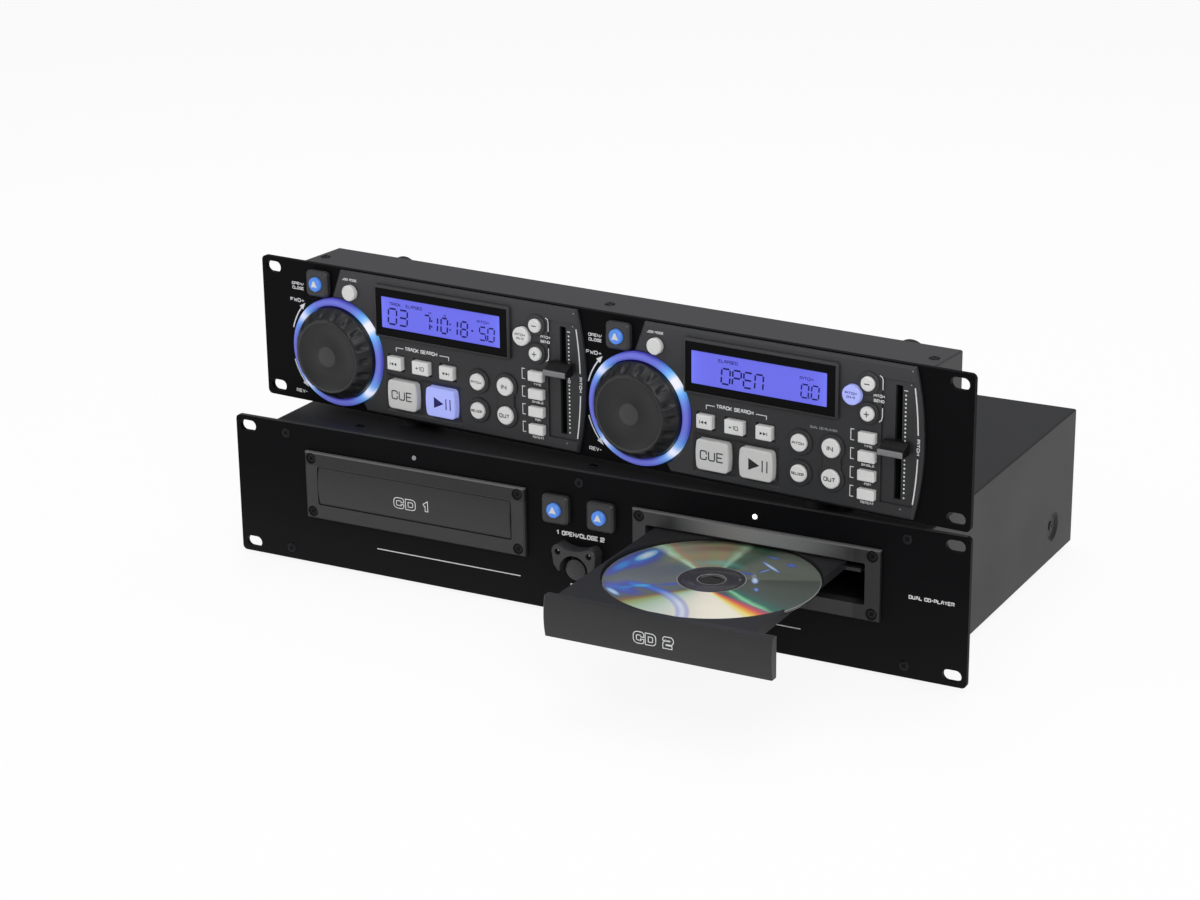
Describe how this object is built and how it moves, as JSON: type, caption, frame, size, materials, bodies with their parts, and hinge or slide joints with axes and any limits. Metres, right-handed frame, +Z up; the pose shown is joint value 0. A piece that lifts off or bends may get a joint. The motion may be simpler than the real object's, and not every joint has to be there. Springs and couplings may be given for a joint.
{
  "type": "dual disc player",
  "caption": "Rack-mount twin disc player: a drive unit with sliding trays and a control unit with jog wheels, pitch faders and keys.",
  "frame": {"origin": "centre of the drive unit's four rack slots, on the rear face of its front panel", "axes": "+X to the right seen from the front, +Y to the rear, +Z up"},
  "size_m": [0.4845, 0.3739, 0.1853],
  "materials": {
    "panel_black": "fine satin powder coat",
    "case_black": "satin paint",
    "bezel_grey": "fine grain",
    "fascia_black": "fine grain",
    "tray_black": "smooth",
    "door_grey": "satin",
    "rubber_black": "matt",
    "button_grey": "satin",
    "key_dark": "satin",
    "lens_blue": "translucent",
    "ring_blue": "translucent, lit",
    "light_lens": "clear",
    "display": "lit window",
    "jog_black": "satin with fine grooves",
    "disc": "mirror-like read side coat",
    "gear_white": "smooth",
    "mechanism_grey": "smooth",
    "circuit": "lacquered board",
    "screw_black": "blackened",
    "socket_black": "smooth"
  },
  "bodies": {
    "drive_unit": {"drive_front_panel": "panel_black", "drive_base": "case_black", "drive_cover": "case_black", "drive_feet": "rubber_black", "tray_bezels": "bezel_grey", "panel_guards": "bezel_grey", "indicator_lights": "light_lens", "loader_mechanisms": "mechanism_grey", "drive_electronics": "circuit", "rear_sockets": "socket_black", "drive_screws": "screw_black"},
    "tray_1": {"tray_1": "tray_black", "tray_door_1": "door_grey"},
    "tray_2": {"tray_2": "tray_black", "tray_door_2": "door_grey"},
    "disc_2": {"disc_2": "disc"},
    "tray_pinion_1": {"tray_pinion_1": "gear_white"},
    "tray_pinion_2": {"tray_pinion_2": "gear_white"},
    "drive_eject_button_1": {"drive_eject_button_1": "lens_blue"},
    "drive_eject_button_2": {"drive_eject_button_2": "lens_blue"},
    "power_button": {"power_button": "key_dark"},
    "control_unit": {"control_front_panel": "panel_black", "control_housing": "case_black", "control_feet": "rubber_black", "deck_fascias": "fascia_black", "displays": "display", "light_rings": "ring_blue", "control_eject_pads": "bezel_grey", "control_electronics": "circuit", "control_screws": "screw_black"},
    "jog_wheel_1": {"jog_wheel_1": "jog_black"},
    "pitch_fader_1": {"pitch_fader_1": "key_dark"},
    "eject_button_1": {"eject_button_1": "lens_blue"},
    "jog_mode_button_1": {"jog_mode_button_1": "button_grey"},
    "search_keys_1": {"search_keys_1": "button_grey"},
    "cue_button_1": {"cue_button_1": "button_grey"},
    "play_button_1": {"play_button_1": "button_grey"},
    "pitch_on_button_1": {"pitch_on_button_1": "button_grey"},
    "reloop_button_1": {"reloop_button_1": "button_grey"},
    "in_button_1": {"in_button_1": "button_grey"},
    "out_button_1": {"out_button_1": "button_grey"},
    "pitch_mode_button_1": {"pitch_mode_button_1": "button_grey"},
    "bend_down_button_1": {"bend_down_button_1": "button_grey"},
    "bend_up_button_1": {"bend_up_button_1": "button_grey"},
    "mode_keys_1": {"mode_keys_1": "button_grey"},
    "jog_wheel_2": {"jog_wheel_2": "jog_black"},
    "pitch_fader_2": {"pitch_fader_2": "key_dark"},
    "eject_button_2": {"eject_button_2": "lens_blue"},
    "jog_mode_button_2": {"jog_mode_button_2": "button_grey"},
    "search_keys_2": {"search_keys_2": "button_grey"},
    "cue_button_2": {"cue_button_2": "button_grey"},
    "play_button_2": {"play_button_2": "button_grey"},
    "pitch_on_button_2": {"pitch_on_button_2": "button_grey"},
    "reloop_button_2": {"reloop_button_2": "button_grey"},
    "in_button_2": {"in_button_2": "button_grey"},
    "out_button_2": {"out_button_2": "button_grey"},
    "pitch_mode_button_2": {"pitch_mode_button_2": "button_grey"},
    "bend_down_button_2": {"bend_down_button_2": "button_grey"},
    "bend_up_button_2": {"bend_up_button_2": "button_grey"},
    "mode_keys_2": {"mode_keys_2": "button_grey"}
  },
  "joints": [
    {"name": "control_lift", "type": "slide", "parent": "drive_unit", "child": "control_unit", "axis": [0, 0, 1], "range_m": [0, 0.12]},
    {"name": "tray_1_slide", "type": "slide", "parent": "drive_unit", "child": "tray_1", "axis": [0, -1, 0], "range_m": [0, 0.11938]},
    {"name": "tray_2_slide", "type": "slide", "parent": "drive_unit", "child": "tray_2", "axis": [0, -1, 0], "range_m": [-0.11938, 0]},
    {"name": "disc_2_spin", "type": "hinge", "parent": "tray_2", "child": "disc_2", "pos_m": [0.1127, -0.05838, 0.01665], "axis": [0, 0, 1], "continuous": true},
    {"name": "tray_pinion_1_spin", "type": "hinge", "parent": "drive_unit", "child": "tray_pinion_1", "pos_m": [-0.1447, 0.014, 0.01085], "axis": [0, 0, 1], "range_deg": [0, 855.1]},
    {"name": "tray_pinion_2_spin", "type": "hinge", "parent": "drive_unit", "child": "tray_pinion_2", "pos_m": [0.0807, 0.014, 0.01085], "axis": [0, 0, 1], "range_deg": [-855.1, 0]},
    {"name": "drive_eject_1_press", "type": "slide", "parent": "drive_unit", "child": "drive_eject_button_1", "axis": [0, 1, 0], "range_m": [0, 0.001], "stiffness_N_per_m": 250},
    {"name": "drive_eject_2_press", "type": "slide", "parent": "drive_unit", "child": "drive_eject_button_2", "axis": [0, 1, 0], "range_m": [0, 0.001], "stiffness_N_per_m": 250},
    {"name": "power_press", "type": "slide", "parent": "drive_unit", "child": "power_button", "axis": [0, 1, 0], "range_m": [0, 0.001], "stiffness_N_per_m": 250},
    {"name": "jog_1_spin", "type": "hinge", "parent": "control_unit", "child": "jog_wheel_1", "pos_m": [-0.18053, 0.01702, 0.0854], "axis": [-0.0778, -0.997, 0], "continuous": true},
    {"name": "pitch_fader_1_slide", "type": "slide", "parent": "control_unit", "child": "pitch_fader_1", "axis": [0, 0, 1], "range_m": [-0.04, 0.02]},
    {"name": "eject_1_press", "type": "slide", "parent": "control_unit", "child": "eject_button_1", "axis": [0.0778, 0.997, 0], "range_m": [0, 0.001], "stiffness_N_per_m": 250},
    {"name": "jog_mode_1_press", "type": "slide", "parent": "control_unit", "child": "jog_mode_button_1", "axis": [0.0778, 0.997, 0], "range_m": [0, 0.001], "stiffness_N_per_m": 250},
    {"name": "search_key_1_press", "type": "slide", "parent": "control_unit", "child": "search_keys_1", "axis": [0.0778, 0.997, 0], "range_m": [0, 0.001], "stiffness_N_per_m": 250},
    {"name": "cue_1_press", "type": "slide", "parent": "control_unit", "child": "cue_button_1", "axis": [0.0778, 0.997, 0], "range_m": [0, 0.001], "stiffness_N_per_m": 250},
    {"name": "play_1_press", "type": "slide", "parent": "control_unit", "child": "play_button_1", "axis": [0.0778, 0.997, 0], "range_m": [0, 0.001], "stiffness_N_per_m": 250},
    {"name": "pitch_on_1_press", "type": "slide", "parent": "control_unit", "child": "pitch_on_button_1", "axis": [0.0778, 0.997, 0], "range_m": [0, 0.001], "stiffness_N_per_m": 250},
    {"name": "reloop_1_press", "type": "slide", "parent": "control_unit", "child": "reloop_button_1", "axis": [0.0778, 0.997, 0], "range_m": [0, 0.001], "stiffness_N_per_m": 250},
    {"name": "in_1_press", "type": "slide", "parent": "control_unit", "child": "in_button_1", "axis": [0.0778, 0.997, 0], "range_m": [0, 0.001], "stiffness_N_per_m": 250},
    {"name": "out_1_press", "type": "slide", "parent": "control_unit", "child": "out_button_1", "axis": [0.0778, 0.997, 0], "range_m": [0, 0.001], "stiffness_N_per_m": 250},
    {"name": "pitch_mode_1_press", "type": "slide", "parent": "control_unit", "child": "pitch_mode_button_1", "axis": [0.0778, 0.997, 0], "range_m": [0, 0.001], "stiffness_N_per_m": 250},
    {"name": "bend_down_1_press", "type": "slide", "parent": "control_unit", "child": "bend_down_button_1", "axis": [0.0778, 0.997, 0], "range_m": [0, 0.001], "stiffness_N_per_m": 250},
    {"name": "bend_up_1_press", "type": "slide", "parent": "control_unit", "child": "bend_up_button_1", "axis": [0.0778, 0.997, 0], "range_m": [0, 0.001], "stiffness_N_per_m": 250},
    {"name": "mode_key_1_press", "type": "slide", "parent": "control_unit", "child": "mode_keys_1", "axis": [0.0778, 0.997, 0], "range_m": [0, 0.001], "stiffness_N_per_m": 250},
    {"name": "jog_2_spin", "type": "hinge", "parent": "control_unit", "child": "jog_wheel_2", "pos_m": [0.03521, 0.00017, 0.0854], "axis": [-0.0778, -0.997, 0], "continuous": true},
    {"name": "pitch_fader_2_slide", "type": "slide", "parent": "control_unit", "child": "pitch_fader_2", "axis": [0, 0, 1], "range_m": [-0.03, 0.03]},
    {"name": "eject_2_press", "type": "slide", "parent": "control_unit", "child": "eject_button_2", "axis": [0.0778, 0.997, 0], "range_m": [0, 0.001], "stiffness_N_per_m": 250},
    {"name": "jog_mode_2_press", "type": "slide", "parent": "control_unit", "child": "jog_mode_button_2", "axis": [0.0778, 0.997, 0], "range_m": [0, 0.001], "stiffness_N_per_m": 250},
    {"name": "search_key_2_press", "type": "slide", "parent": "control_unit", "child": "search_keys_2", "axis": [0.0778, 0.997, 0], "range_m": [0, 0.001], "stiffness_N_per_m": 250},
    {"name": "cue_2_press", "type": "slide", "parent": "control_unit", "child": "cue_button_2", "axis": [0.0778, 0.997, 0], "range_m": [0, 0.001], "stiffness_N_per_m": 250},
    {"name": "play_2_press", "type": "slide", "parent": "control_unit", "child": "play_button_2", "axis": [0.0778, 0.997, 0], "range_m": [0, 0.001], "stiffness_N_per_m": 250},
    {"name": "pitch_on_2_press", "type": "slide", "parent": "control_unit", "child": "pitch_on_button_2", "axis": [0.0778, 0.997, 0], "range_m": [0, 0.001], "stiffness_N_per_m": 250},
    {"name": "reloop_2_press", "type": "slide", "parent": "control_unit", "child": "reloop_button_2", "axis": [0.0778, 0.997, 0], "range_m": [0, 0.001], "stiffness_N_per_m": 250},
    {"name": "in_2_press", "type": "slide", "parent": "control_unit", "child": "in_button_2", "axis": [0.0778, 0.997, 0], "range_m": [0, 0.001], "stiffness_N_per_m": 250},
    {"name": "out_2_press", "type": "slide", "parent": "control_unit", "child": "out_button_2", "axis": [0.0778, 0.997, 0], "range_m": [0, 0.001], "stiffness_N_per_m": 250},
    {"name": "pitch_mode_2_press", "type": "slide", "parent": "control_unit", "child": "pitch_mode_button_2", "axis": [0.0778, 0.997, 0], "range_m": [0, 0.001], "stiffness_N_per_m": 250},
    {"name": "bend_down_2_press", "type": "slide", "parent": "control_unit", "child": "bend_down_button_2", "axis": [0.0778, 0.997, 0], "range_m": [0, 0.001], "stiffness_N_per_m": 250},
    {"name": "bend_up_2_press", "type": "slide", "parent": "control_unit", "child": "bend_up_button_2", "axis": [0.0778, 0.997, 0], "range_m": [0, 0.001], "stiffness_N_per_m": 250},
    {"name": "mode_key_2_press", "type": "slide", "parent": "control_unit", "child": "mode_keys_2", "axis": [0.0778, 0.997, 0], "range_m": [0, 0.001], "stiffness_N_per_m": 250}
  ],
  "couplings": [
    {"joint": "tray_pinion_1_spin", "follows": "tray_1_slide", "rad_per_m": 125},
    {"joint": "tray_pinion_2_spin", "follows": "tray_2_slide", "rad_per_m": 125}
  ]
}
